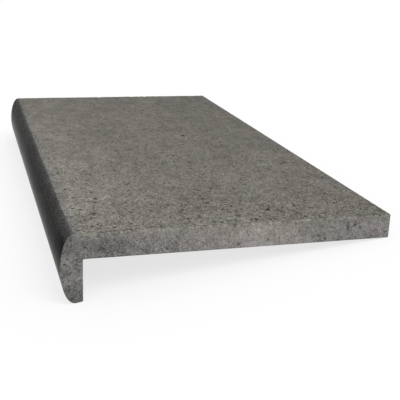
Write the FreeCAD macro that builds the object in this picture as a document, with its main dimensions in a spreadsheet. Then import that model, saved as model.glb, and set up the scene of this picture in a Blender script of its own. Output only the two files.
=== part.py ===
import FreeCAD, Part
import Sketcher
import os
from enum import IntEnum

# Drop-face bullnose coping tile, sawn and ground from one block of stone.
# Millimetres, +Z up. The tile lies unheld on a level floor: the toe of its
# leg and the lower edge of its back both touch the floor, so the slab leans
# back a little. The origin is on the floor, under the middle of the tile.

doc = FreeCAD.newDocument("bullnose_tile")

# Driving sizes of the tile.
SIZES = {
    "tile_length": 800.0,
    "tile_width": 400.0,
    "slab_thickness": 30.0,
    "nose_height": 82.0,
    "nose_depth": 16.0,
    "leg_thickness": 25.0,
    "toe_rise": 1.5,
    "toe_radius": 1.5,
    "rebate_radius": 2.0,
    "arris": 1.0,
}

sheet = doc.addObject("Spreadsheet::Sheet", "dims")
for row, (alias, size) in enumerate(SIZES.items(), start=1):
    sheet.set(f"A{row}", alias)
    sheet.set(f"B{row}", str(size))
    sheet.setAlias(f"B{row}", alias)
doc.recompute()

# Places in the section that several features share, from the lowest line of the leg.
TOP = SIZES["nose_height"]
UNDERSIDE = TOP - SIZES["slab_thickness"]
BACK = SIZES["tile_width"] - SIZES["nose_depth"]
INNER = SIZES["leg_thickness"] - SIZES["nose_depth"]

# Two places closer than this are the same place.
SAME_PLACE = 1e-4


class Place(IntEnum):
    """The ends of a line or an arc, as Sketcher numbers them."""

    START = 1
    END = 2


class Axis(IntEnum):
    """The axes of a sketch, as Sketcher numbers them."""

    HORIZONTAL = -1
    VERTICAL = -2


# The horizontal axis of a sketch starts at its origin.
ORIGIN = (Axis.HORIZONTAL, Place.START)


def origin_plane(body, role):
    """Return the plane of the body's own origin that has this role."""
    for feature in body.Origin.OriginFeatures:
        if feature.Role == role:
            return feature
    raise RuntimeError(f"{body.Label} has no {role}")


def bind(sketch, constraint, name, expression):
    """Add a named size to the sketch and tie it to the spreadsheet."""
    index = sketch.addConstraint(constraint)
    sketch.renameConstraint(index, name)
    sketch.setExpression(f"Constraints.{name}", expression)


def draw_section(sketch):
    """Draw the section of the tile, with the lowest point of the leg at the origin.

    The nose is half an ellipse over the whole height of the leg. The toe
    rises from it to the inner face of the leg, and the slab runs back from
    the top of the leg.
    """
    depth = SIZES["nose_depth"]
    rise = SIZES["toe_rise"]

    corners = [
        FreeCAD.Vector(0, TOP, 0),
        FreeCAD.Vector(BACK, TOP, 0),
        FreeCAD.Vector(BACK, UNDERSIDE, 0),
        FreeCAD.Vector(INNER, UNDERSIDE, 0),
        FreeCAD.Vector(INNER, rise, 0),
        FreeCAD.Vector(0, 0, 0),
    ]
    top_line, back_line, under_line, inner_line, toe_line = [
        sketch.addGeometry(Part.LineSegment(first, second), False)
        for first, second in zip(corners, corners[1:])
    ]
    nose_centre = FreeCAD.Vector(0, TOP / 2, 0)
    nose_side = FreeCAD.Vector(-depth, TOP / 2, 0)
    nose_ellipse = Part.Ellipse(corners[0], nose_side, nose_centre)
    quarter = nose_ellipse.parameter(nose_side)
    nose = sketch.addGeometry(Part.ArcOfEllipse(nose_ellipse, 0.0, 2 * quarter), False)
    sketch.exposeInternalGeometry(nose)
    major_axis = nose + 1
    minor_axis = nose + 2

    for first, second in [(top_line, back_line), (back_line, under_line),
                          (under_line, inner_line), (inner_line, toe_line)]:
        sketch.addConstraint(Sketcher.Constraint("Coincident", first, Place.END, second, Place.START))
    sketch.addConstraint(Sketcher.Constraint("Coincident", toe_line, Place.END, nose, Place.END))
    sketch.addConstraint(Sketcher.Constraint("Coincident", top_line, Place.START, nose, Place.START))
    sketch.addConstraint(Sketcher.Constraint("Coincident", toe_line, Place.END, *ORIGIN))
    sketch.addConstraint(Sketcher.Constraint("PointOnObject", nose, Place.START, Axis.VERTICAL))
    sketch.addConstraint(Sketcher.Constraint("Coincident", major_axis, Place.START, nose, Place.START))
    for line in (top_line, under_line):
        sketch.addConstraint(Sketcher.Constraint("Horizontal", line))
    for line in (back_line, inner_line):
        sketch.addConstraint(Sketcher.Constraint("Vertical", line))

    bind(sketch, Sketcher.Constraint("DistanceY", *ORIGIN, nose, Place.START, TOP),
         "nose_height", "dims.nose_height")
    bind(sketch, Sketcher.Constraint("Distance", minor_axis, 2 * depth),
         "nose_full_depth", "2 * dims.nose_depth")
    bind(sketch, Sketcher.Constraint("DistanceX", top_line, Place.START, top_line, Place.END,
                                     BACK),
         "flat_width", "dims.tile_width - dims.nose_depth")
    bind(sketch, Sketcher.Constraint("DistanceY", back_line, Place.END, back_line, Place.START,
                                     SIZES["slab_thickness"]),
         "slab_thickness", "dims.slab_thickness")
    bind(sketch, Sketcher.Constraint("DistanceX", *ORIGIN, inner_line, Place.END, INNER),
         "inner_face", "dims.leg_thickness - dims.nose_depth")
    bind(sketch, Sketcher.Constraint("DistanceY", *ORIGIN, inner_line, Place.END, rise),
         "toe_rise", "dims.toe_rise")


def long_edges(feature, places):
    """Name the edges that run the length of the tile at the given section points."""
    names = []
    for number, edge in enumerate(feature.Shape.Edges, start=1):
        middle = edge.CenterOfMass
        is_long = abs(edge.BoundBox.YLength - feature.Shape.BoundBox.YLength) < SAME_PLACE
        is_there = any(abs(middle.x - x) < SAME_PLACE and abs(middle.z - z) < SAME_PLACE
                       for x, z in places)
        if is_long and is_there:
            names.append(f"Edge{number}")
    return names


def end_edges(feature):
    """Name the edges round the two sawn end faces."""
    ends = (feature.Shape.BoundBox.YMin, feature.Shape.BoundBox.YMax)
    names = []
    for number, edge in enumerate(feature.Shape.Edges, start=1):
        box = edge.BoundBox
        if any(abs(box.YMin - end) < SAME_PLACE and abs(box.YMax - end) < SAME_PLACE
               for end in ends):
            names.append(f"Edge{number}")
    return names


def round_edges(body, name, base, places, radius):
    """Round the long edges at the given section points."""
    fillet = body.newObject("PartDesign::Fillet", name)
    fillet.Base = (base, long_edges(base, places))
    fillet.setExpression("Radius", radius)
    doc.recompute()
    return fillet


def build_tile():
    """Pad the section over the length of the tile, then ease its edges."""
    body = doc.addObject("PartDesign::Body", "tile_body")
    body.Label = "bullnose_tile"

    section = body.newObject("Sketcher::SketchObject", "section")
    section.AttachmentSupport = [(origin_plane(body, "XZ_Plane"), "")]
    section.MapMode = "FlatFace"
    draw_section(section)
    doc.recompute()

    slab_and_leg = body.newObject("PartDesign::Pad", "slab_and_leg")
    slab_and_leg.Profile = section
    slab_and_leg.SideType = "Symmetric"
    slab_and_leg.setExpression("Length", "dims.tile_length")
    section.Visibility = False
    doc.recompute()

    # The blade that cuts the rebate leaves its corner slightly round.
    rebate = round_edges(body, "rebate_corner", slab_and_leg, [(INNER, UNDERSIDE)],
                         "dims.rebate_radius")
    toe = round_edges(body, "toe_edge", rebate, [(INNER, SIZES["toe_rise"])],
                      "dims.toe_radius")

    arrises = body.newObject("PartDesign::Chamfer", "arrises")
    arrises.Base = (toe, end_edges(toe) + long_edges(toe, [(BACK, TOP), (BACK, UNDERSIDE)]))
    arrises.setExpression("Size", "dims.arris")
    doc.recompute()

    rest_on_floor(body)
    return body


def rest_on_floor(body):
    """Lean the tile back until the lower edge of its back touches the floor."""
    drop = "(dims.nose_height - dims.slab_thickness)"
    reach = "(dims.tile_width - dims.nose_depth - dims.arris)"
    tilt = f"atan({drop} / {reach})"
    back = (f"((dims.tile_width - dims.nose_depth) * cos({tilt})"
            f" + (dims.nose_height - dims.arris) * sin({tilt}))")
    half_height = f"(dims.nose_height / 2 * sin({tilt}))"
    front = f"({half_height} - sqrt((dims.nose_depth * cos({tilt}))^2 + {half_height}^2))"

    body.Placement = FreeCAD.Placement(
        FreeCAD.Vector(0, 0, 0), FreeCAD.Rotation(FreeCAD.Vector(0, 1, 0), 1.0))
    body.setExpression("Placement.Rotation.Angle", tilt)
    body.setExpression("Placement.Base.x", f"-({back} + {front}) / 2")
    doc.recompute()


def check_document(parts):
    """Stop when a feature has failed or a part is not one valid solid."""
    for item in doc.Objects:
        if "Invalid" in item.State or "Error" in item.State:
            raise RuntimeError(f"{item.Label}: {item.State}")
    for part in parts:
        if part.Shape.isNull() or not part.Shape.isValid() or len(part.Shape.Solids) != 1:
            raise RuntimeError(f"{part.Label} is not one valid solid")


parts = [build_tile()]
doc.recompute()
check_document(parts)

os.makedirs("parts", exist_ok=True)
for part in parts:
    part.Shape.exportStep(os.path.join("parts", f"{part.Label}.step"))
    print(part.Label, part.Shape.BoundBox, "volume", round(part.Shape.Volume / 1e9, 6), "m3")
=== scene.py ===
import logging
import math
from dataclasses import dataclass, field
from enum import Enum

import bpy
import numpy as np
from mathutils import Matrix, Vector
from mathutils.geometry import delaunay_2d_cdt
from mathutils.kdtree import KDTree


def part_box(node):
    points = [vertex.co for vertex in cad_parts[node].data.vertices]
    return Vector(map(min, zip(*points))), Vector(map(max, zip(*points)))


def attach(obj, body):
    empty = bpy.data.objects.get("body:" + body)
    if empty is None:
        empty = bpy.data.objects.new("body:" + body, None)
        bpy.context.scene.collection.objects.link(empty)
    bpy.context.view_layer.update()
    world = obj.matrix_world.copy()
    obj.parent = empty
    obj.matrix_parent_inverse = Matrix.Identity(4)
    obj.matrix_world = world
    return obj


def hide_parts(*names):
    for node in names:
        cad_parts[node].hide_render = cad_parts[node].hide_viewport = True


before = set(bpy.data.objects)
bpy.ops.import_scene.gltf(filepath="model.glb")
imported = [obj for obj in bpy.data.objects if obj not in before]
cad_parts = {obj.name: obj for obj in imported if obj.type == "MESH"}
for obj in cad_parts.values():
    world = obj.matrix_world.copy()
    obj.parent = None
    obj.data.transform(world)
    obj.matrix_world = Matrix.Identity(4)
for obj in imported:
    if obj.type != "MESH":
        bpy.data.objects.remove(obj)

# Looks of a drop-face bullnose coping tile in dark grey stone: a flamed top,
# a honed nose and sawn ends. Metres in the frame; the stone's own textures
# are sized in millimetres.

CAD_NODE = "bullnose_tile"
MM = 0.001
LOG = logging.getLogger("bullnose_tile")

Socket = bpy.types.NodeSocket
Colour = tuple[float, float, float]


class Finish(Enum):
    """How a face of the tile is worked. The value is its material slot."""

    FLAMED = 0
    HONED = 1
    SAWN = 2


def seen(red: float, green: float, blue: float) -> tuple[float, float, float, float]:
    """Turn a colour as a screen shows it into the linear colour a shader takes.

    Args:
        red: Red as shown, 0 to 255.
        green: Green as shown, 0 to 255.
        blue: Blue as shown, 0 to 255.

    Returns:
        Linear red, green and blue, and an alpha of 1.
    """
    linear = []
    for shown in (red, green, blue):
        share = shown / 255
        linear.append(share / 12.92 if share <= 0.04045 else ((share + 0.055) / 1.055) ** 2.4)
    return (*linear, 1.0)


@dataclass(frozen=True)
class TileSizes:
    """Real sizes of the tile, and how it leans on the floor.

    The tile's own axes start at the lowest line of its leg: x runs to the
    back, y along the length and z up to the top face.
    """

    length: float = 0.800
    width: float = 0.400
    slab_thickness: float = 0.030
    nose_height: float = 0.082
    nose_depth: float = 0.016
    leg_thickness: float = 0.025
    toe_rise: float = 0.0015
    toe_radius: float = 0.0015
    rebate_radius: float = 0.002
    arris: float = 0.001

    @property
    def back(self) -> float:
        """Where the back face stands."""
        return self.width - self.nose_depth

    @property
    def inner(self) -> float:
        """Where the inner face of the leg stands."""
        return self.leg_thickness - self.nose_depth

    @property
    def underside(self) -> float:
        """Height of the underside of the slab."""
        return self.nose_height - self.slab_thickness

    @property
    def tilt(self) -> float:
        """Lean of the tile when its toe and its lower back edge touch the floor."""
        return math.atan(self.underside / (self.back - self.arris))

    @property
    def shift(self) -> float:
        """Where the lowest line of the leg stands on the floor, from the frame's box."""
        half_rise = self.nose_height / 2 * math.sin(self.tilt)
        front = half_rise - math.hypot(self.nose_depth * math.cos(self.tilt), half_rise)
        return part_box(CAD_NODE)[0].x - front

    def lay(self, points: np.ndarray) -> np.ndarray:
        """Lay points given in the tile's own axes on the floor.

        Args:
            points: One row of x, y and z for each point.

        Returns:
            The same points in the frame.
        """
        sine, cosine = math.sin(self.tilt), math.cos(self.tilt)
        x, y, z = points.T
        return np.column_stack([x * cosine + z * sine + self.shift, y, z * cosine - x * sine])


def swell(draw: np.random.Generator, across: np.ndarray, along: np.ndarray,
          cell: float) -> np.ndarray:
    """Blend random heights on a square lattice into a smooth swell.

    Args:
        draw: Source of the random heights.
        across: First coordinate of each place.
        along: Second coordinate of each place.
        cell: Width of a cell of the lattice.

    Returns:
        Heights from 0 to 1.
    """
    u = (across - across.min()) / cell
    v = (along - along.min()) / cell
    heights = draw.random((int(u.max()) + 2, int(v.max()) + 2))
    i, j = u.astype(int), v.astype(int)
    s, t = u - i, v - j
    s, t = s * s * (3 - 2 * s), t * t * (3 - 2 * t)
    near = heights[i, j] * (1 - t) + heights[i, j + 1] * t
    far = heights[i + 1, j] * (1 - t) + heights[i + 1, j + 1] * t
    return near * (1 - s) + far * s


@dataclass(frozen=True)
class Pit:
    """A place where a grain has broken out."""

    across: float
    along: float
    radius: float
    depth: float


@dataclass(frozen=True)
class Relief:
    """Unevenness of a worked face, as depths below its plane."""

    seed: int
    waves: tuple[tuple[float, float], ...]
    pits_per_m2: float
    pit_radius: tuple[float, float]
    pit_depth: tuple[float, float]
    large_pits: tuple[Pit, ...] = ()

    def waviness(self, across: np.ndarray, along: np.ndarray) -> np.ndarray:
        """Work out the slow unevenness, from 0 down, at each place.

        Args:
            across: First coordinate of each place.
            along: Second coordinate of each place.

        Returns:
            One depth for each place.
        """
        draw = np.random.default_rng(self.seed)
        return sum(height * swell(draw, across, along, cell) for cell, height in self.waves)

    def pitting(self, across: np.ndarray, along: np.ndarray) -> np.ndarray:
        """Work out how deep each place lies in pits.

        Args:
            across: First coordinate of each place.
            along: Second coordinate of each place.

        Returns:
            One depth for each place.
        """
        depth = np.zeros_like(across)
        tree = KDTree(len(across))
        for index, place in enumerate(zip(across, along)):
            tree.insert((*place, 0.0), index)
        tree.balance()
        for pit in (*self.scattered(across, along), *self.large_pits):
            for _, index, gap in tree.find_range((pit.across, pit.along, 0.0), pit.radius):
                sunk = pit.depth * (1 - (gap / pit.radius) ** 2)
                depth[index] = max(depth[index], sunk)
        return depth

    def scattered(self, across: np.ndarray, along: np.ndarray) -> list[Pit]:
        """Scatter pits over a face, many small ones and a few larger ones.

        Args:
            across: First coordinate of each place of the face.
            along: Second coordinate of each place of the face.

        Returns:
            The pits.
        """
        draw = np.random.default_rng(self.seed + 100)
        low = np.array([across.min(), along.min()])
        reach = np.array([across.max(), along.max()]) - low
        count = int(self.pits_per_m2 * reach[0] * reach[1])
        pits = []
        sizes = draw.random((count, 2)) ** 1.25
        for place, size in zip(low + draw.random((count, 2)) * reach, sizes):
            radius = self.pit_radius[0] + size[0] * (self.pit_radius[1] - self.pit_radius[0])
            depth = self.pit_depth[0] + size[1] * (self.pit_depth[1] - self.pit_depth[0])
            pits.append(Pit(place[0], place[1], radius, depth))
        return pits


@dataclass
class Outline:
    """Section of the tile as points, going round from the finish line over the top."""

    places: list[tuple[float, float]] = field(default_factory=list)
    normals: list[tuple[float, float]] = field(default_factory=list)
    finishes: list[Finish] = field(default_factory=list)
    corners: list[tuple[float, float, float]] = field(default_factory=list)

    def add(self, place: tuple[float, float], normal: tuple[float, float],
            finish: Finish) -> None:
        """Add one point.

        Args:
            place: Its x and z.
            normal: The direction out of the stone there.
            finish: The finish of the strip from this point to the next.
        """
        size = math.hypot(*normal)
        self.places.append(place)
        self.normals.append((normal[0] / size, normal[1] / size))
        self.finishes.append(finish)

    def line(self, start: tuple[float, float], end: tuple[float, float],
             normal: tuple[float, float], shares: np.ndarray, finish: Finish) -> None:
        """Add points on a straight run.

        Args:
            start: Its first end.
            end: Its last end.
            normal: The direction out of the stone.
            shares: How far along the run each point lies, 0 to 1.
            finish: The finish of the run.
        """
        for share in shares:
            place = (start[0] + (end[0] - start[0]) * share,
                     start[1] + (end[1] - start[1]) * share)
            self.add(place, normal, finish)

    def arc(self, centre: tuple[float, float], radius: float, angles: np.ndarray,
            finish: Finish, hollow: bool = False) -> None:
        """Add points on a round edge or a round inner corner.

        Args:
            centre: The arc's centre.
            radius: The arc's radius.
            angles: Where the points lie, in radians.
            finish: The finish of the arc.
            hollow: True where the stone lies outside the arc.
        """
        if not hollow:
            self.corners.append((*centre, radius))
        for angle in angles:
            spoke = (math.cos(angle), math.sin(angle))
            place = (centre[0] + radius * spoke[0], centre[1] + radius * spoke[1])
            normal = (-spoke[0], -spoke[1]) if hollow else spoke
            self.add(place, normal, finish)


@dataclass
class ShaderSheet:
    """The nodes of one material, with a short method for each kind it uses."""

    name: str

    def __post_init__(self) -> None:
        """Make the material with its main shader."""
        self.material = bpy.data.materials.new(self.name)
        self.material.use_nodes = True
        self.tree = self.material.node_tree
        self.tree.nodes.clear()
        self.shader = self.tree.nodes.new("ShaderNodeBsdfPrincipled")
        output = self.tree.nodes.new("ShaderNodeOutputMaterial")
        self.tree.links.new(self.shader.outputs["BSDF"], output.inputs["Surface"])

    def feed(self, socket: Socket, value: object) -> None:
        """Link a socket to another, or set it to a constant.

        Args:
            socket: The input to fill.
            value: An output socket, or a constant.
        """
        if isinstance(value, Socket):
            self.tree.links.new(value, socket)
        else:
            socket.default_value = value

    def node(self, kind: str, inputs: dict[str | int, object],
             **settings: object) -> bpy.types.Node:
        """Add a node.

        Args:
            kind: The node's type, without its ShaderNode prefix.
            inputs: Values or sockets for its inputs, by name or number.
            **settings: Its other settings.

        Returns:
            The node.
        """
        made = self.tree.nodes.new(f"ShaderNode{kind}")
        for key, setting in settings.items():
            setattr(made, key, setting)
        for key, value in inputs.items():
            self.feed(made.inputs[key], value)
        return made

    def stone_places(self, sizes: TileSizes) -> Socket:
        """Give places in the tile's own axes, in millimetres.

        Args:
            sizes: The tile's sizes, which say how it leans.

        Returns:
            The places as a vector socket.
        """
        shift = sizes.shift / MM
        origin = (-shift * math.cos(sizes.tilt), 0.0, -shift * math.sin(sizes.tilt))
        scale = 1 / MM
        places = self.node("TexCoord", {}).outputs["Object"]
        return self.node("Mapping", {"Vector": places, "Location": origin,
                                     "Rotation": (0.0, -sizes.tilt, 0.0),
                                     "Scale": (scale, scale, scale)}).outputs["Vector"]

    def noise(self, places: Socket, grain: float, detail: float = 2.0,
              roughness: float = 0.5) -> Socket:
        """Smooth noise whose lumps are about grain millimetres wide."""
        return self.node("TexNoise", {"Vector": places, "Scale": 1 / grain, "Detail": detail,
                                      "Roughness": roughness}).outputs["Fac"]

    def wobbled(self, places: Socket, grain: float, reach: float) -> Socket:
        """Shift places a little at random, so that crystals get uneven edges."""
        push = self.node("TexNoise", {"Vector": places, "Scale": 1 / grain, "Detail": 2.0})
        return self.node("VectorMath", {0: push.outputs["Color"], 1: (reach, reach, reach),
                                        2: places}, operation="MULTIPLY_ADD").outputs["Vector"]

    def cells(self, places: Socket, grain: float) -> tuple[Socket, Socket]:
        """Crystals about grain millimetres wide.

        Args:
            places: Where to look.
            grain: Width of a crystal in millimetres.

        Returns:
            The distance from each crystal's middle, and a random colour for each.
        """
        made = self.node("TexVoronoi", {"Vector": places, "Scale": 1 / grain})
        return made.outputs["Distance"], made.outputs["Color"]

    def span(self, value: Socket, low: float, high: float, bottom: float = 0.0,
             top: float = 1.0) -> Socket:
        """Map the span from low to high smoothly onto bottom to top."""
        return self.node("MapRange", {"Value": value, "From Min": low, "From Max": high,
                                      "To Min": bottom, "To Max": top},
                         interpolation_type="SMOOTHSTEP").outputs["Result"]

    def sum(self, first: object, second: object, operation: str = "ADD") -> Socket:
        """Join two values by a sum, or by another operation."""
        return self.node("Math", {0: first, 1: second}, operation=operation).outputs[0]

    def times(self, first: object, second: object) -> Socket:
        """Multiply two values."""
        return self.sum(first, second, "MULTIPLY")

    def mark(self, name: str) -> Socket:
        """Read one of the values that the mesh keeps for each of its points."""
        return self.node("Attribute", {}, attribute_name=name).outputs["Fac"]

    def part(self, places: Socket, axis: str) -> Socket:
        """Take one coordinate, X, Y or Z, of a vector."""
        return self.node("SeparateXYZ", {"Vector": places}).outputs[axis]

    def above_top(self, places: Socket, sizes: TileSizes) -> Socket:
        """Height over the top face in millimetres, which is negative below it."""
        return self.sum(self.part(places, "Z"), sizes.nose_height / MM, "SUBTRACT")

    def scaled(self, colour: Socket, amount: object) -> Socket:
        """Make a colour lighter or darker."""
        return self.node("VectorMath", {"Vector": colour, "Scale": amount},
                         operation="SCALE").outputs["Vector"]

    def steps(self, value: Socket, stops: tuple[tuple[float, float], ...]) -> Socket:
        """Follow a smooth line through a few points.

        Args:
            value: Where on the line.
            stops: Place and height of each point, in order.

        Returns:
            The height of the line there.
        """
        height: object = stops[0][1]
        for (start, low), (end, high) in zip(stops, stops[1:]):
            height = self.sum(height, self.span(value, start, end, 0.0, high - low))
        return height

    def blend(self, share: object, first: object, second: object,
              mode: str = "MIX") -> Socket:
        """Blend two colours.

        Args:
            share: How much of the second, 0 to 1.
            first: The first colour.
            second: The second colour.
            mode: The way of blending.

        Returns:
            The blended colour.
        """
        made = self.node("Mix", {}, data_type="RGBA", blend_type=mode)
        for name, value in (("Factor_Float", share), ("A_Color", first), ("B_Color", second)):
            socket = next(entry for entry in made.inputs if entry.identifier == name)
            self.feed(socket, value)
        return next(out for out in made.outputs if out.identifier == "Result_Color")


@dataclass(frozen=True)
class StoneBody:
    """The stone all through: crystals, slow clouds and a shifting tint."""

    crystal: float = 1.3
    large_crystal: float = 2.8
    speckle: float = 0.6
    mottle: float = 11.0
    cloud: float = 50.0
    tint: float = 30.0

    def crystals(self, sheet: ShaderSheet, places: Socket, grain: float) -> Socket:
        """Random value of each crystal, 0 to 1."""
        uneven = sheet.wobbled(places, grain * 0.6, grain * 1.1)
        _, colours = sheet.cells(uneven, grain)
        return sheet.node("SeparateColor", {"Color": colours}).outputs["Red"]

    def tone(self, sheet: ShaderSheet, places: Socket, contrast: object = 1.0,
             mottling: object = 0.2) -> Socket:
        """Light and dark of the crystals.

        Args:
            sheet: The material to add to.
            places: Places in the stone, in millimetres.
            contrast: How strongly light and dark differ.
            mottling: How strongly the stone is mottled.

        Returns:
            A value from 0, dark, to 1, light.
        """
        small = sheet.steps(self.crystals(sheet, places, self.crystal),
                            ((0.0, 0.0), (0.25, 0.42), (0.75, 0.58), (1.0, 1.0)))
        large = sheet.steps(self.crystals(sheet, places, self.large_crystal),
                            ((0.0, 0.0), (0.14, 0.5), (0.86, 0.5), (1.0, 1.0)))
        speckle = sheet.noise(places, self.speckle, 3.0, 0.65)
        mottle = sheet.noise(places, self.mottle, 2.0, 0.5)
        mixed = sheet.sum(sheet.times(small, 0.44), sheet.times(large, 0.28))
        mixed = sheet.sum(mixed, sheet.times(speckle, 0.8))
        mixed = sheet.sum(mixed, sheet.times(sheet.sum(mottle, -0.5), mottling))
        mixed = sheet.span(mixed, 0.42, 1.1, -0.5, 0.5)
        return sheet.sum(sheet.times(mixed, contrast), 0.5)

    def facets(self, sheet: ShaderSheet, places: Socket) -> Socket:
        """Height of the broken crystals, for the bump of a flamed face."""
        small = self.crystals(sheet, places, self.crystal)
        large = self.crystals(sheet, places, self.large_crystal)
        return sheet.sum(sheet.times(small, 0.5), sheet.times(large, 0.5))

    def clouded(self, sheet: ShaderSheet, places: Socket, colour: Socket,
                strength: float) -> Socket:
        """Lay slow clouds and a faint green or violet tint over a colour.

        Args:
            sheet: The material to add to.
            places: Places in the stone, in millimetres.
            colour: The colour of the crystals.
            strength: How strong the clouds are, 0 to 1.

        Returns:
            The clouded colour.
        """
        cloud = sheet.noise(places, self.cloud, 3.0, 0.55)
        shade = sheet.span(cloud, 0.3, 0.7, 1 - strength, 1 + strength)
        green = sheet.span(sheet.noise(places, self.tint, 2.0, 0.5), 0.38, 0.62)
        tint = sheet.blend(green, (1.015, 0.988, 1.005, 1.0), (0.99, 1.008, 0.98, 1.0))
        return sheet.blend(1.0, sheet.scaled(colour, shade), tint, "MULTIPLY")


@dataclass(frozen=True)
class FlamedFinish:
    """The top: burst crystals, pale and matt, with dark pits.

    The grinding of the nose has rubbed the far end of its edge a little wider.
    """

    light: Colour = (169, 165, 157)
    dark: Colour = (49, 47, 43)
    pit: Colour = (42, 40, 38)
    pit_size: float = 3.2
    bump: float = 0.55
    far_rub: float = 1.2
    grain_pace: float = 0.66

    def drawn_out(self, sheet: ShaderSheet, places: Socket) -> Socket:
        """Draw the grain out a little along the tile."""
        return sheet.node("VectorMath", {0: places, 1: (1.0, self.grain_pace, 1.0)},
                          operation="MULTIPLY").outputs["Vector"]

    def colour(self, sheet: ShaderSheet, body: StoneBody, places: Socket,
               strength: float = 1.0) -> Socket:
        """Colour of the flamed stone without its pits, with painted light and shade across the
        top.

        Args:
            sheet: The material to add to.
            body: The stone.
            places: Places in the stone, in millimetres.
            strength: How strong the crystals show.

        Returns:
            The colour.
        """
        across, along = sheet.part(places, "X"), sheet.part(places, "Y")
        contrast = sheet.steps(along, ((-400.0, 0.87), (-200.0, 0.66), (50.0, 0.49),
                                       (400.0, 0.38)))
        mottling = sheet.span(along, -300.0, 300.0, 0.26, 0.55)
        drawn = self.drawn_out(sheet, places)
        grain = sheet.blend(body.tone(sheet, drawn, sheet.times(contrast, strength), mottling),
                            seen(*self.dark), seen(*self.light))
        clouded = body.clouded(sheet, places, grain, 0.08)
        # Painted light and shade: the top is lighter next to the finish line and, over the near
        # half, towards the nose; it grows darker towards the back and towards the far end.
        shade = sheet.steps(across, ((-2.0, 1.0), (8.0, 1.1), (165.0, 1.0), (384.0, 0.9)))
        shade = sheet.times(shade, sheet.span(along, -400.0, 400.0, 1.03, 0.9))
        lift = sheet.times(sheet.span(across, 120.0, 0.0), sheet.span(along, 400.0, 0.0))
        shade = sheet.times(shade, sheet.sum(1.0, sheet.times(lift, 0.1)))
        rubbed = sheet.sum(across, sheet.times(sheet.noise(places, 6.0, 3.0, 0.6), 7.0))
        rubbed = sheet.sum(rubbed, sheet.span(along, 100.0, 400.0, 0.0, self.far_rub), "SUBTRACT")
        shade = sheet.times(shade, sheet.span(rubbed, 0.0, 2.2, 0.45, 1.0))
        beside_nose = sheet.blend(sheet.span(across, 12.0, -1.0), (1.0, 1.0, 1.0, 1.0),
                                  (0.95, 1.0, 1.05, 1.0))
        return sheet.blend(1.0, sheet.scaled(clouded, shade), beside_nose, "MULTIPLY")

    def material(self, sizes: TileSizes, body: StoneBody) -> bpy.types.Material:
        """Make the finish.

        Args:
            sizes: The tile's sizes.
            body: The stone.

        Returns:
            The material.
        """
        sheet = ShaderSheet("flamed_stone")
        places = sheet.stone_places(sizes)
        drawn = self.drawn_out(sheet, places)
        # The pits darken to the pit colour: partly dirt in them, partly painted shade in the
        # hollows.
        hollow = sheet.span(sheet.mark("hollow"), 0.25, 0.9)
        holes = sheet.noise(drawn, self.pit_size, 2.0, 0.6)
        small_hollow = sheet.span(holes, 0.40, 0.31)
        pit_dirt_and_shade = sheet.sum(sheet.times(hollow, 0.95), sheet.times(small_hollow, 0.55), "MAXIMUM")
        colour = sheet.blend(pit_dirt_and_shade, self.colour(sheet, body, places), seen(*self.pit))
        sheet.feed(sheet.shader.inputs["Base Color"], colour)
        sheet.shader.inputs["Roughness"].default_value = 0.9
        sheet.shader.inputs["Specular IOR Level"].default_value = 0.04

        rough = sheet.sum(sheet.times(body.facets(sheet, drawn), 0.6),
                          sheet.noise(drawn, 1.3, 3.0, 0.6))
        surface = sheet.sum(rough, sheet.times(small_hollow, -0.6))
        normal = sheet.node("Bump", {"Height": surface, "Distance": self.bump * MM,
                                     "Strength": 1.0}).outputs["Normal"]
        sheet.feed(sheet.shader.inputs["Normal"], normal)
        return sheet.material


@dataclass(frozen=True)
class HonedFinish:
    """The nose: ground smooth, dark, with a soft sheen, and painted light and reflection in its
    colour.
    """

    light: Colour = (76, 75, 74)
    dark: Colour = (30, 30, 30)
    bump: float = 0.03

    def material(self, sizes: TileSizes, body: StoneBody) -> bpy.types.Material:
        """Make the finish.

        Args:
            sizes: The tile's sizes.
            body: The stone.

        Returns:
            The material.
        """
        sheet = ShaderSheet("honed_stone")
        places = sheet.stone_places(sizes)
        grain = sheet.blend(body.tone(sheet, places), seen(*self.dark), seen(*self.light))
        clouded = body.clouded(sheet, places, grain, 0.1)
        height = sheet.above_top(places, sizes)
        # Painted light and reflection: the nose is lighter low on its rim, where a sheen is
        # painted, and up next to the top, where it turns to the light; it is darker in between.
        shade = sheet.steps(height, ((-50.0, 1.75), (-42.0, 1.5), (-34.0, 1.16), (-27.0, 1.0),
                                     (-16.0, 0.98), (-11.0, 1.28), (-5.0, 1.5), (-2.0, 1.85),
                                     (-0.2, 2.8)))
        along = sheet.part(places, "Y")
        # Darker in the middle of the nose's height towards the near end, and low on the rim
        # towards the far end.
        middle = sheet.times(sheet.span(height, -38.0, -20.0), sheet.span(height, -6.0, -13.0))
        near = sheet.steps(along, ((-392.0, 0.6), (-362.0, 0.33), (-335.0, 0.12), (-300.0, 0.0)))
        far = sheet.span(along, 50.0, 400.0, 0.0, 0.2)
        darker = sheet.sum(sheet.times(near, middle),
                           sheet.times(far, sheet.span(height, -16.0, -28.0)))
        shade = sheet.times(shade, sheet.sum(1.0, darker, "SUBTRACT"))
        sheet.feed(sheet.shader.inputs["Base Color"], sheet.scaled(clouded, shade))
        worn = sheet.noise(places, 18.0, 3.0, 0.6)
        sheet.feed(sheet.shader.inputs["Roughness"], sheet.span(worn, 0.3, 0.7, 0.17, 0.24))
        sheet.shader.inputs["Specular IOR Level"].default_value = 0.0
        sheet.shader.inputs["Coat Weight"].default_value = 1.0
        sheet.shader.inputs["Coat Roughness"].default_value = 0.12
        sheet.shader.inputs["Coat IOR"].default_value = 1.008
        normal = sheet.node("Bump", {"Height": sheet.noise(places, 0.9, 2.0, 0.5),
                                     "Distance": self.bump * MM}).outputs["Normal"]
        sheet.feed(sheet.shader.inputs["Normal"], normal)
        return sheet.material


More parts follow.
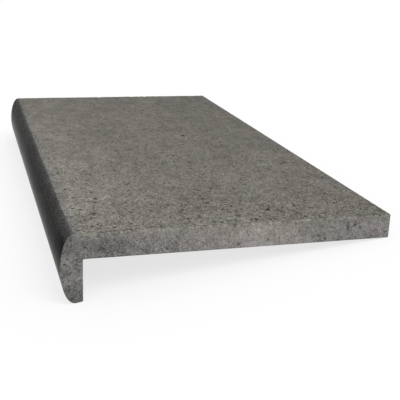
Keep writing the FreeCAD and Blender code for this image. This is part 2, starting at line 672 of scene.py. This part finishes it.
@dataclass(frozen=True)
class SawnFinish:
    """The ends, the back, the underside and the leg: flat, with fine saw marks."""

    light: Colour = (158, 154, 150)
    dark: Colour = (89, 88, 87)
    pit: Colour = (50, 48, 48)
    cool: tuple[float, float, float, float] = (0.984, 1.0, 1.016, 1.0)
    warm: tuple[float, float, float, float] = (1.026, 1.0, 0.976, 1.0)
    pit_size: float = 3.0
    bump: float = 0.2

    def shade(self, sheet: ShaderSheet, places: Socket, height: Socket) -> Socket:
        """Broad light and dark of the sawn faces: a painted highlight across their middle, darker
        towards the toe, and a darker band under the top near the nose.

        Args:
            sheet: The material to add to.
            places: Places in the stone, in millimetres.
            height: Height over the top face in millimetres.

        Returns:
            A value to scale the colour by.
        """
        # Painted highlight: the sawn faces are lighter in a broad band across their middle, with a
        # wandering edge.
        wander = sheet.times(sheet.sum(sheet.noise(places, 22.0, 3.0, 0.6), -0.5), 34.0)
        across = sheet.sum(sheet.part(places, "X"), wander)
        broad_highlight = sheet.steps(across, ((0.0, 0.88), (40.0, 0.88), (115.0, 1.08), (160.0, 1.14),
                                     (205.0, 1.34), (240.0, 1.28), (285.0, 1.06), (380.0, 1.02)))
        # Darker towards the toe of the leg, reaching higher on its inner side.
        inward = sheet.times(sheet.span(sheet.part(places, "X"), -12.0, 9.0, -3.0, 8.0),
                             sheet.span(height, -26.0, -36.0))
        toe = sheet.steps(sheet.sum(height, inward, "SUBTRACT"),
                          ((-78.0, 0.68), (-70.0, 0.84), (-58.0, 1.04), (-50.0, 1.05),
                           (-42.0, 0.97), (-34.0, 0.94), (-28.0, 1.0)))
        seam = sheet.times(sheet.span(height, -32.0, -17.0), sheet.span(height, -7.0, -13.0))
        seam = sheet.times(seam, sheet.span(across, 150.0, 60.0))
        seam = sheet.sum(1.0, sheet.times(seam, 0.15), "SUBTRACT")
        return sheet.times(sheet.times(broad_highlight, toe), seam)

    def material(self, sizes: TileSizes, body: StoneBody,
                 flamed: FlamedFinish) -> bpy.types.Material:
        """Make the finish.

        Args:
            sizes: The tile's sizes.
            body: The stone.
            flamed: The finish of the top, whose colour the sawn faces take, made lighter, in a
                band just under the top.

        Returns:
            The material.
        """
        sheet = ShaderSheet("sawn_stone")
        places = sheet.stone_places(sizes)
        across, height = sheet.part(places, "X"), sheet.above_top(places, sizes)
        contrast = sheet.steps(across, ((60.0, 1.3), (200.0, 0.75), (320.0, 1.0)))
        grain = sheet.blend(body.tone(sheet, places, contrast, 0.36), seen(*self.dark),
                            seen(*self.light))
        clouded = body.clouded(sheet, places, grain, 0.1)
        shaded = sheet.scaled(clouded, self.shade(sheet, places, height))
        marks = sheet.node("Mapping", {"Vector": places, "Scale": (0.45, 0.03, 0.035)})
        saw = sheet.noise(marks.outputs["Vector"], 1.0, 3.0, 0.5)
        shaded = sheet.scaled(shaded, sheet.span(saw, 0.3, 0.7, 0.95, 1.05))
        warmth = sheet.times(sheet.span(across, 60.0, 170.0), sheet.span(across, 330.0, 240.0))
        warmth = sheet.times(warmth, sheet.span(height, -32.0, -14.0))
        tint = sheet.blend(warmth, self.cool, self.warm)
        shaded = sheet.blend(1.0, shaded, tint, "MULTIPLY")

        # The sawn faces take the flamed colour in a ragged band just under the top, lighter away
        # from the nose.
        ragged = sheet.sum(height, sheet.times(sheet.noise(places, 7.0, 3.0, 0.6), 7.0))
        near_flame = sheet.span(ragged, -7.0, 3.0)
        edge = sheet.span(across, 20.0, 110.0, 1.0, 1.12)
        lighter_top_band = sheet.blend(sheet.times(near_flame, 0.8), shaded,
                            sheet.scaled(flamed.colour(sheet, body, places, 0.9), edge))

        # The pits darken to the pit colour: partly dirt in them, partly painted shade in the
        # hollows.
        hollow = sheet.span(sheet.mark("hollow"), 0.25, 0.9)
        holes = sheet.noise(places, self.pit_size, 2.0, 0.5)
        small_hollow = sheet.span(holes, 0.31, 0.25)
        pit_dirt_and_shade = sheet.sum(sheet.times(hollow, 0.75), sheet.times(small_hollow, 0.6),
                             "MAXIMUM")
        sheet.feed(sheet.shader.inputs["Base Color"],
                   sheet.blend(pit_dirt_and_shade, lighter_top_band, seen(*self.pit)))
        sheet.shader.inputs["Roughness"].default_value = 0.8
        sheet.shader.inputs["Specular IOR Level"].default_value = 0.1

        surface = sheet.sum(sheet.times(saw, 0.5), sheet.noise(places, 1.0, 3.0, 0.6))
        surface = sheet.sum(surface, sheet.times(small_hollow, -1.5))
        normal = sheet.node("Bump", {"Height": surface, "Distance": self.bump * MM})
        sheet.feed(sheet.shader.inputs["Normal"], normal.outputs["Normal"])
        return sheet.material


@dataclass
class StoneTile:
    """The tile as one closed mesh, with its worked faces and worn edges."""

    sizes: TileSizes = field(default_factory=TileSizes)
    finish_line: float = 0.0135
    finish_wander: float = 0.0008
    finish_bends: tuple[tuple[float, float], ...] = (
        (-0.400, 0.0021), (-0.345, 0.0015), (-0.300, 0.0000), (-0.270, -0.0006),
        (-0.235, -0.0000), (-0.160, -0.0003), (-0.100, 0.0006), (-0.010, -0.0001),
        (0.050, 0.0005), (0.110, 0.0007), (0.150, -0.0001), (0.205, -0.0016),
        (0.400, -0.0017))
    flamed_step: float = 0.0003
    top_start: float = 0.0032
    clearance: float = 0.00002
    top_pitch: float = 0.0022
    nose_pitch: float = 0.0032
    end_pitch: float = 0.0018
    edge_round: float = 0.0012
    end_round: tuple[float, float] = (0.0006, 0.0010)
    top_end_round: tuple[float, float] = (0.0010, 0.0032)
    end_rows: tuple[float, ...] = (0.0, 0.0002, 0.0006, 0.0012, 0.0021, 0.0033)
    sawn_rows: int = 3
    deepest: float = 0.0012
    seed: int = 11
    top_relief: Relief = Relief(
        seed=3, waves=((0.013, 0.0003), (0.0058, 0.0003)), pits_per_m2=9000,
        pit_radius=(0.0016, 0.0040), pit_depth=(0.0002, 0.0011),
        large_pits=(Pit(0.0321, -0.3329, 0.0046, 0.0013), Pit(0.0183, -0.3159, 0.0042, 0.0012),
                    Pit(0.0426, -0.2769, 0.0042, 0.0013), Pit(0.2413, -0.3543, 0.0046, 0.0013),
                    Pit(0.2154, -0.3844, 0.0046, 0.0012), Pit(0.3443, -0.3921, 0.0034, 0.0013),
                    Pit(0.1359, -0.3696, 0.0040, 0.0012), Pit(0.0226, -0.3769, 0.0042, 0.0011),
                    Pit(0.1708, -0.3885, 0.0036, 0.0012), Pit(0.0987, -0.3907, 0.0034, 0.0012),
                    Pit(0.0471, -0.3838, 0.0036, 0.0012), Pit(0.2793, -0.3452, 0.0036, 0.0011),
                    Pit(0.0165, -0.2680, 0.0040, 0.0011), Pit(0.1757, -0.3155, 0.0042, 0.0011),
                    Pit(0.0246, -0.3499, 0.0032, 0.0011), Pit(0.2773, -0.3862, 0.0036, 0.0011),
                    Pit(0.0615, -0.2838, 0.0036, 0.0011), Pit(0.2013, -0.3354, 0.0036, 0.0011),
                    Pit(0.1869, -0.3445, 0.0034, 0.0011), Pit(0.0885, -0.3048, 0.0036, 0.0011),
                    Pit(0.3656, -0.3920, 0.0032, 0.0012), Pit(0.2506, -0.3863, 0.0032, 0.0010),
                    Pit(0.1333, -0.3616, 0.0032, 0.0010), Pit(0.1894, -0.3295, 0.0034, 0.0010),
                    Pit(0.2530, -0.3453, 0.0032, 0.0010), Pit(0.0726, -0.3828, 0.0032, 0.0010),
                    Pit(0.0113, -0.2330, 0.0038, 0.0011), Pit(0.2288, -0.2634, 0.0036, 0.0011),
                    Pit(0.2431, 0.0430, 0.0050, 0.0013), Pit(0.1389, -0.3366, 0.0032, 0.0010),
                    Pit(0.3381, -0.3431, 0.0032, 0.0010), Pit(0.1926, -0.3875, 0.0030, 0.0010),
                    Pit(0.2437, -0.3103, 0.0034, 0.0010), Pit(0.0082, -0.3030, 0.0034, 0.0010),
                    Pit(0.0765, -0.3368, 0.0032, 0.0010), Pit(0.1150, -0.3767, 0.0030, 0.0010),
                    Pit(0.3266, -0.3891, 0.0030, 0.0010)))
    near_relief: Relief = Relief(
        seed=8, waves=((0.03, 0.0001), (0.006, 0.00010)), pits_per_m2=2800,
        pit_radius=(0.0015, 0.0026), pit_depth=(0.0003, 0.0011),
        large_pits=(Pit(0.2987, 0.0564, 0.0026, 0.0013), Pit(0.1896, 0.0569, 0.0026, 0.0012),
                    Pit(0.3278, 0.0664, 0.0024, 0.0013), Pit(0.3277, 0.0700, 0.0022, 0.0012),
                    Pit(0.3270, 0.0747, 0.0022, 0.0012), Pit(0.3370, 0.0710, 0.0028, 0.0013),
                    Pit(0.3442, 0.0676, 0.0024, 0.0012), Pit(0.0589, 0.0791, 0.0024, 0.0012),
                    Pit(0.1038, 0.0573, 0.0024, 0.0012), Pit(0.2254, 0.0597, 0.0024, 0.0012),
                    Pit(0.2904, 0.0603, 0.0024, 0.0012), Pit(0.2668, 0.0790, 0.0022, 0.0012),
                    Pit(0.2378, 0.0782, 0.0022, 0.0012), Pit(0.2594, 0.0773, 0.0022, 0.0012),
                    Pit(0.2640, 0.0670, 0.0023, 0.0012), Pit(0.0523, 0.0561, 0.0021, 0.0011),
                    Pit(0.0113, 0.0653, 0.0021, 0.0011), Pit(0.1987, 0.0701, 0.0020, 0.0011),
                    Pit(0.0434, 0.0594, 0.0020, 0.0011), Pit(0.3017, 0.0793, 0.0018, 0.0011),
                    Pit(0.0027, 0.0578, 0.0020, 0.0011), Pit(0.3757, 0.0609, 0.0019, 0.0011),
                    Pit(0.0178, 0.0602, 0.0019, 0.0011), Pit(-0.0081, 0.0690, 0.0020, 0.0011),
                    Pit(-0.0083, 0.0530, 0.0023, 0.0013), Pit(-0.0106, 0.0471, 0.0024, 0.0013),
                    Pit(-0.0109, 0.0186, 0.0019, 0.0011), Pit(0.0057, 0.0398, 0.0019, 0.0011)))
    far_relief: Relief = Relief(
        seed=9, waves=((0.03, 0.0001), (0.006, 0.00010)), pits_per_m2=4000,
        pit_radius=(0.0015, 0.0027), pit_depth=(0.0003, 0.0012))

    def outline(self) -> Outline:
        """Lay out the section, from the finish line over the top and back up the nose."""
        size = self.sizes
        outline = Outline()
        self.add_top(outline)
        self.add_back(outline)
        self.add_underside(outline)
        self.add_leg(outline)
        self.add_nose(outline)
        LOG.info("section of %d points, %.1f mm high", len(outline.places),
                 size.nose_height / MM)
        return outline

    def nose_point(self, angle: float) -> tuple[tuple[float, float], tuple[float, float]]:
        """Find a point of the nose and the direction out of the stone there.

        Args:
            angle: 0 at the lowest point and pi at the top.

        Returns:
            The place and the normal.
        """
        half = self.sizes.nose_height / 2
        depth = self.sizes.nose_depth
        place = (-depth * math.sin(angle), half * (1 - math.cos(angle)))
        return place, (-math.sin(angle) / depth, -math.cos(angle) / half)

    def crest(self, across: np.ndarray | float) -> np.ndarray:
        """Height of the tile's upper side, given how far across it is."""
        share = np.clip(-np.asarray(across) / self.sizes.nose_depth, 0, 1)
        return self.sizes.nose_height / 2 * (1 + np.sqrt(1 - share ** 2)) - self.clearance

    @property
    def finish_angle(self) -> float:
        """Where on the nose the honed face meets the flamed top."""
        return math.pi - math.asin(1 - self.finish_line / self.sizes.nose_depth)

    def add_top(self, outline: Outline) -> None:
        """Add the flamed top, which starts a hair's breadth past the finish line."""
        top = self.sizes.nose_height
        place, normal = self.nose_point(self.finish_angle)
        step = place[0] + self.flamed_step
        for across in (place[0], step, (step + self.top_start) / 2):
            outline.add((across, float(self.crest(across))), normal, Finish.FLAMED)
            normal = (-0.1, 1.0)
        right = self.sizes.back - self.edge_round
        count = round((right - self.top_start) / self.top_pitch)
        outline.line((self.top_start, top), (right, top), (0.0, 1.0),
                     np.linspace(0, 1, count + 1), Finish.FLAMED)

    def add_back(self, outline: Outline) -> None:
        """Add the back face with its two rounded edges."""
        size = self.sizes
        middle = size.back - self.edge_round
        high = (middle, size.nose_height - self.edge_round)
        low = (middle, size.underside + self.edge_round)
        outline.arc(high, self.edge_round, np.radians([60.0, 30.0, 0.0]), Finish.SAWN)
        outline.line((size.back, high[1]), (size.back, low[1]), (1.0, 0.0),
                     np.linspace(0, 1, 8)[1:-1], Finish.SAWN)
        outline.arc(low, self.edge_round, np.radians([0.0, -30.0, -60.0]), Finish.SAWN)

    def add_underside(self, outline: Outline) -> None:
        """Add the underside and the corner where it meets the leg."""
        size = self.sizes
        corner = size.inner + size.rebate_radius
        outline.line((size.back - self.edge_round, size.underside), (corner, size.underside),
                     (0.0, -1.0), np.array([0, 0.01, 0.1, 0.25, 0.4, 0.55, 0.7, 0.85, 0.97]),
                     Finish.SAWN)
        outline.arc((corner, size.underside - size.rebate_radius), size.rebate_radius,
                    np.radians([90.0, 112.5, 135.0, 157.5, 180.0]), Finish.SAWN, hollow=True)

    def add_leg(self, outline: Outline) -> None:
        """Add the inner face of the leg, its rounded edge and the rising toe."""
        size = self.sizes
        slope = math.atan(size.toe_rise / size.inner)
        toe_normal = (math.sin(slope), -math.cos(slope))
        centre_x = size.inner - size.toe_radius
        centre_z = (size.toe_radius + toe_normal[0] * centre_x) / -toe_normal[1]
        outline.line((size.inner, size.underside - size.rebate_radius), (size.inner, centre_z),
                     (1.0, 0.0), np.array([0.08, 0.25, 0.5, 0.75, 0.95]), Finish.SAWN)
        outline.arc((centre_x, centre_z), size.toe_radius,
                    np.linspace(0, slope - math.pi / 2, 5), Finish.SAWN)
        start = (centre_x + size.toe_radius * toe_normal[0],
                 centre_z + size.toe_radius * toe_normal[1])
        outline.line(start, (0.0, 0.0), toe_normal, np.array([0.35, 0.7]), Finish.SAWN)

    def add_nose(self, outline: Outline) -> None:
        """Add the honed nose, from its lowest line up to the finish line."""
        fine = np.linspace(0, self.finish_angle, 400)
        half = self.sizes.nose_height / 2
        pace = np.hypot(self.sizes.nose_depth * np.cos(fine), half * np.sin(fine))
        run = np.concatenate([[0.0], np.cumsum((pace[1:] + pace[:-1]) / 2 * np.diff(fine))])
        count = round(run[-1] / self.nose_pitch)
        angles = np.interp(np.linspace(0, run[-1], count + 1)[:-1], run, fine)
        for angle in angles:
            place, normal = self.nose_point(angle)
            outline.add(place, normal, Finish.HONED)

    def rows(self) -> np.ndarray:
        """Places of the mesh rows along the length, closer together at the ends."""
        half = self.sizes.length / 2
        close = np.array(self.end_rows)
        inner = half - close[-1]
        count = round(2 * inner / self.top_pitch)
        middle = np.linspace(-inner, inner, count + 1)[1:-1]
        return np.concatenate([close - half, middle, (half - close)[::-1]])

    def end_wear(self, outline: Outline) -> np.ndarray:
        """Choose how round each end edge is all along the section.

        The edge of the flamed top is the roundest and the most uneven.

        Args:
            outline: The section.

        Returns:
            A radius for each end and each point of the section.
        """
        places = np.array(outline.places)
        run = np.concatenate([[0.0], np.cumsum(np.linalg.norm(np.diff(places, axis=0), axis=1))])
        level = np.clip((places[:, 1] - self.sizes.underside) / self.sizes.slab_thickness, 0, 1)
        flamed = np.array([finish is Finish.FLAMED for finish in outline.finishes])
        level = np.where(flamed, np.clip(places[:, 0] / 0.02, 0, 1), 0.0)
        most = np.full(len(places), 1.0)
        for across, up, radius in outline.corners:
            gap = np.hypot(places[:, 0] - across, places[:, 1] - up) - radius
            most = np.minimum(most, 0.8 * radius + 0.4 * np.maximum(gap, 0))
        draw = np.random.default_rng(self.seed)
        radii = []
        for _ in range(2):
            coarse = swell(draw, run, np.zeros_like(run), 0.011)
            fine = swell(draw, run, np.zeros_like(run), 0.004)
            uneven = np.clip(0.55 * coarse + 0.45 * fine, 0, 1)
            plain = self.end_round[0] + uneven * (self.end_round[1] - self.end_round[0])
            worn = self.top_end_round[0] + uneven * (self.top_end_round[1] - self.top_end_round[0])
            radii.append(np.minimum(plain * (1 - level) + worn * level, most))
        return np.array(radii)

    def worn_round(self, outline: Outline, along: np.ndarray) -> np.ndarray:
        """Round the two end edges.

        Args:
            outline: The section.
            along: The rows along the length.

        Returns:
            How far each point of the sides draws back.
        """
        depth = np.zeros((len(along), len(outline.places)))
        for end, radius in zip((-1, 1), self.end_wear(outline)):
            distance = self.sizes.length / 2 - end * along
            left = np.clip(radius - distance[:, None], 0, None)
            depth += radius - np.sqrt(np.clip(radius ** 2 - left ** 2, 0, None))
        return depth

    def sides(self, outline: Outline, along: np.ndarray) -> tuple[np.ndarray, np.ndarray]:
        """Sweep the section along the length, with its relief and rounded ends.

        Args:
            outline: The section.
            along: The rows along the length.

        Returns:
            x and z of each point of each row, and how deep each lies in a pit.
        """
        places, normals = np.array(outline.places), np.array(outline.normals)
        depth = self.worn_round(outline, along)
        pits = np.zeros_like(depth)
        flamed = [i for i, finish in enumerate(outline.finishes) if finish is Finish.FLAMED]
        across, down = np.meshgrid(places[flamed, 0], along)
        across, down = across.ravel(), down.ravel()
        shape = (len(along), len(flamed))
        near_edge = np.clip((self.sizes.back - places[flamed, 0]) / 0.003, 0.4, 1)
        near_edge[0] = 0.0
        pits[:, flamed] = self.top_relief.pitting(across, down).reshape(shape) * near_edge
        waves = self.top_relief.waviness(across, down).reshape(shape) * near_edge
        depth += pits
        depth[:, flamed] += waves
        section = places[None] - normals[None] * depth[..., None]

        draw = np.random.default_rng(self.seed + 1)
        still = np.zeros_like(along)
        wander = (swell(draw, along, still, 0.06) + 0.25 * swell(draw, along, still, 0.008)
                  - 0.625) * 2 * self.finish_wander
        wander += np.interp(along, *zip(*self.finish_bends))
        edge = places[:3, 0] + wander[:, None] * np.array([1.0, 1.0, 0.5])
        section[:, :3, 0] += edge - places[:3, 0]
        section[:, :3, 1] += self.crest(edge) - places[:3, 1]
        return section, pits

    def end_face(self, ring: np.ndarray, end: int) -> tuple[np.ndarray, np.ndarray,
                                                            list[tuple[int, ...]]]:
        """Fill an end face with points and triangles.

        Args:
            ring: x and z of the edge of the face.
            end: -1 for the near end and 1 for the far end.

        Returns:
            x, y and z of the points inside the edge, how deep each lies in a
            pit, and the triangles, which number the edge's points first.
        """
        low, high = ring.min(0), ring.max(0)
        across = np.arange(low[0], high[0], self.end_pitch)
        up = np.arange(low[1], high[1], self.end_pitch)
        grid = np.array([(x, z) for x in across for z in up])
        grid = grid[self.inside(ring, grid)]
        points = [Vector(place) for place in np.vstack([ring, grid])]
        edge = list(range(len(ring)))[::-1]
        found = delaunay_2d_cdt(points, [], [edge], 1, 1e-7)
        names = [sources[0] for sources in found[3]]
        triangles = [tuple(names[corner] for corner in face) for face in found[2]]
        relief = self.near_relief if end < 0 else self.far_relief
        pits = relief.pitting(grid[:, 0], grid[:, 1])
        depth = pits + relief.waviness(grid[:, 0], grid[:, 1])
        y = end * (self.sizes.length / 2 - depth)
        return np.column_stack([grid[:, 0], y, grid[:, 1]]), pits, triangles

    def inside(self, ring: np.ndarray, places: np.ndarray) -> np.ndarray:
        """Tell which places lie inside the ring and clear of its edge.

        Args:
            ring: x and z of the ring.
            places: x and z of the places.

        Returns:
            True for each place that lies inside.
        """
        crossings = np.zeros(len(places), bool)
        clear = np.ones(len(places), bool)
        for start, end in zip(ring, np.roll(ring, -1, axis=0)):
            rises = (start[1] > places[:, 1]) != (end[1] > places[:, 1])
            run = end - start
            with np.errstate(divide="ignore", invalid="ignore"):
                x = start[0] + (places[:, 1] - start[1]) * run[0] / run[1]
            crossings ^= rises & (places[:, 0] < x)
            share = np.clip((places - start) @ run / max(run @ run, 1e-12), 0, 1)
            gap = np.linalg.norm(places - start - share[:, None] * run, axis=1)
            clear &= gap > self.end_pitch * 0.6
        return crossings & clear

    def build(self) -> bpy.types.Object:
        """Build the mesh and lay it on the floor.

        Returns:
            The tile's object.
        """
        outline = self.outline()
        along = self.rows()
        section, pits = self.sides(outline, along)
        rows, columns = pits.shape
        y = np.repeat(along, columns)
        points = [np.column_stack([section[..., 0].ravel(), y, section[..., 1].ravel()])]
        hollows = [pits.ravel()]

        faces, slots = [], []
        for row in range(rows - 1):
            at_end = min(row, rows - 2 - row) < self.sawn_rows
            for column in range(columns):
                after = (column + 1) % columns
                a, b = row * columns + column, row * columns + after
                faces.append((a, b, b + columns, a + columns))
                finish = Finish.SAWN if at_end else outline.finishes[column]
                slots.append(finish.value)
        total = rows * columns
        for end, row in ((-1, 0), (1, rows - 1)):
            inner, inner_pits, triangles = self.end_face(section[row], end)
            ring = [row * columns + column for column in range(columns)]
            names = ring + list(range(total, total + len(inner)))
            for triangle in triangles:
                corners = [names[corner] for corner in triangle]
                faces.append(tuple(corners if end < 0 else corners[::-1]))
                slots.append(Finish.SAWN.value)
            points.append(inner)
            hollows.append(inner_pits)
            total += len(inner)

        mesh = bpy.data.meshes.new("bullnose_tile_stone")
        mesh.from_pydata(self.sizes.lay(np.vstack(points)), [], faces)
        mesh.polygons.foreach_set("material_index", slots)
        mesh.polygons.foreach_set("use_smooth", [True] * len(faces))
        hollow = mesh.attributes.new("hollow", "FLOAT", "POINT")
        hollow.data.foreach_set("value", np.concatenate(hollows) / self.deepest)
        tile = bpy.data.objects.new("bullnose_tile_stone", mesh)
        bpy.context.scene.collection.objects.link(tile)
        return tile

    def dress(self, tile: bpy.types.Object) -> None:
        """Give the tile its three finishes and tie it to the frame.

        Args:
            tile: The tile's object.
        """
        body, flamed = StoneBody(), FlamedFinish()
        looks = {Finish.FLAMED: flamed.material(self.sizes, body),
                 Finish.HONED: HonedFinish().material(self.sizes, body),
                 Finish.SAWN: SawnFinish().material(self.sizes, body, flamed)}
        for finish in Finish:
            tile.data.materials.append(looks[finish])
        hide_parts(CAD_NODE)
        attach(tile, "root")


@dataclass
class Studio:
    """Pale floor, plain lamps and a white surround."""

    floor_size: float = 14.0
    floor_gap: float = 0.0002
    floor_shade: float = 0.8
    surround: float = 0.62
    lamp_strength: float = 1.25
    lamp_softness: float = 35.0
    lamp_from: tuple[float, float, float] = (0.45, -0.75, 0.9)

    def background_rays(self, tree: bpy.types.NodeTree) -> Socket:
        """Mark the rays that should see the pale background.

        Args:
            tree: The node tree to add to.

        Returns:
            1 for camera, glossy and transmission rays, and else 0.
        """
        path = tree.nodes.new("ShaderNodeLightPath")
        total = path.outputs["Is Camera Ray"]
        for name in ("Is Glossy Ray", "Is Transmission Ray"):
            either = tree.nodes.new("ShaderNodeMath")
            either.operation = "MAXIMUM"
            tree.links.new(total, either.inputs[0])
            tree.links.new(path.outputs[name], either.inputs[1])
            total = either.outputs[0]
        return total

    def build_floor(self) -> bpy.types.Object:
        """Make the floor, which looks white and still takes the tile's shadow."""
        half = self.floor_size / 2
        mesh = bpy.data.meshes.new("studio_floor")
        corners = [(-half, -half, 0), (half, -half, 0), (half, half, 0), (-half, half, 0)]
        mesh.from_pydata(corners, [], [(0, 1, 2, 3)])
        floor = bpy.data.objects.new("studio_floor", mesh)
        floor.location.z = -self.floor_gap
        bpy.context.scene.collection.objects.link(floor)
        mesh.materials.append(self.floor_material())
        return floor

    def floor_material(self) -> bpy.types.Material:
        """Make the floor's matt paint, lifted to white for the camera."""
        material = bpy.data.materials.new("floor_paint")
        material.use_nodes = True
        tree = material.node_tree
        tree.nodes.clear()
        paint = tree.nodes.new("ShaderNodeBsdfDiffuse")
        paint.inputs["Color"].default_value = (self.floor_shade,) * 3 + (1.0,)
        seen_paint = tree.nodes.new("ShaderNodeBsdfDiffuse")
        seen_paint.inputs["Color"].default_value = (0.28, 0.28, 0.28, 1.0)
        lift = tree.nodes.new("ShaderNodeEmission")
        lift.inputs["Color"].default_value = (0.75, 0.75, 0.75, 1.0)
        lifted = tree.nodes.new("ShaderNodeAddShader")
        tree.links.new(seen_paint.outputs[0], lifted.inputs[0])
        tree.links.new(lift.outputs[0], lifted.inputs[1])
        choice = tree.nodes.new("ShaderNodeMixShader")
        tree.links.new(self.background_rays(tree), choice.inputs[0])
        tree.links.new(paint.outputs[0], choice.inputs[1])
        tree.links.new(lifted.outputs[0], choice.inputs[2])
        output = tree.nodes.new("ShaderNodeOutputMaterial")
        tree.links.new(choice.outputs[0], output.inputs["Surface"])
        return material

    def light(self) -> None:
        """Set the surround and one broad soft lamp."""
        scene = bpy.context.scene
        world = bpy.data.worlds.new("studio_surround")
        scene.world = world
        world.use_nodes = True
        tree = world.node_tree
        tree.nodes.clear()
        plain = tree.nodes.new("ShaderNodeBackground")
        plain.inputs["Color"].default_value = (1.0, 1.0, 1.0, 1.0)
        plain.inputs["Strength"].default_value = self.surround
        white = tree.nodes.new("ShaderNodeBackground")
        white.inputs["Color"].default_value = (1.0, 1.0, 1.0, 1.0)
        white.inputs["Strength"].default_value = 1.0
        choice = tree.nodes.new("ShaderNodeMixShader")
        tree.links.new(self.background_rays(tree), choice.inputs[0])
        tree.links.new(plain.outputs[0], choice.inputs[1])
        tree.links.new(white.outputs[0], choice.inputs[2])
        output = tree.nodes.new("ShaderNodeOutputWorld")
        tree.links.new(choice.outputs[0], output.inputs["Surface"])

        lamp = bpy.data.lights.new("soft_lamp", "SUN")
        lamp.energy = self.lamp_strength
        lamp.angle = math.radians(self.lamp_softness)
        holder = bpy.data.objects.new("soft_lamp", lamp)
        holder.rotation_mode = "QUATERNION"
        holder.rotation_quaternion = Vector(self.lamp_from).to_track_quat("Z", "Y")
        scene.collection.objects.link(holder)


@dataclass
class PhotoCamera:
    """Camera at the photograph's viewing angle, worked out from the tile's edges."""

    place: tuple[float, float, float] = (-0.2467, -1.2034, 0.3924)
    aim: tuple[float, float, float] = (0.0018, -0.2564, 0.0400)
    roll: float = -5.53
    lens: float = 71.09
    sensor: float = 36.0

    def build(self) -> None:
        """Make the camera and hand it to the scene."""
        scene = bpy.context.scene
        data = bpy.data.cameras.new("photo_camera")
        data.lens = self.lens
        data.sensor_width = self.sensor
        data.clip_start = 0.01
        camera = bpy.data.objects.new("photo_camera", data)
        scene.collection.objects.link(camera)
        place = Vector(self.place)
        turn = (Vector(self.aim) - place).to_track_quat("-Z", "Y").to_matrix().to_4x4()
        rolled = turn @ Matrix.Rotation(math.radians(self.roll), 4, "Z")
        camera.matrix_world = Matrix.Translation(place) @ rolled
        scene.camera = camera


def main() -> None:
    """Build the tile, the studio and the camera, and note the sizes."""
    logging.basicConfig(level=logging.INFO, format="%(name)s: %(message)s")
    scene = bpy.context.scene
    scene.view_settings.view_transform = "Standard"
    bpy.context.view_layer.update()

    tile_maker = StoneTile()
    tile = tile_maker.build()
    tile_maker.dress(tile)
    LOG.info("%s: %d faces", tile.name, len(tile.data.polygons))

    studio = Studio()
    floor = studio.build_floor()
    LOG.info("%s: %.0f m wide", floor.name, studio.floor_size)
    studio.light()
    PhotoCamera().build()


if __name__ == "__main__":
    main()
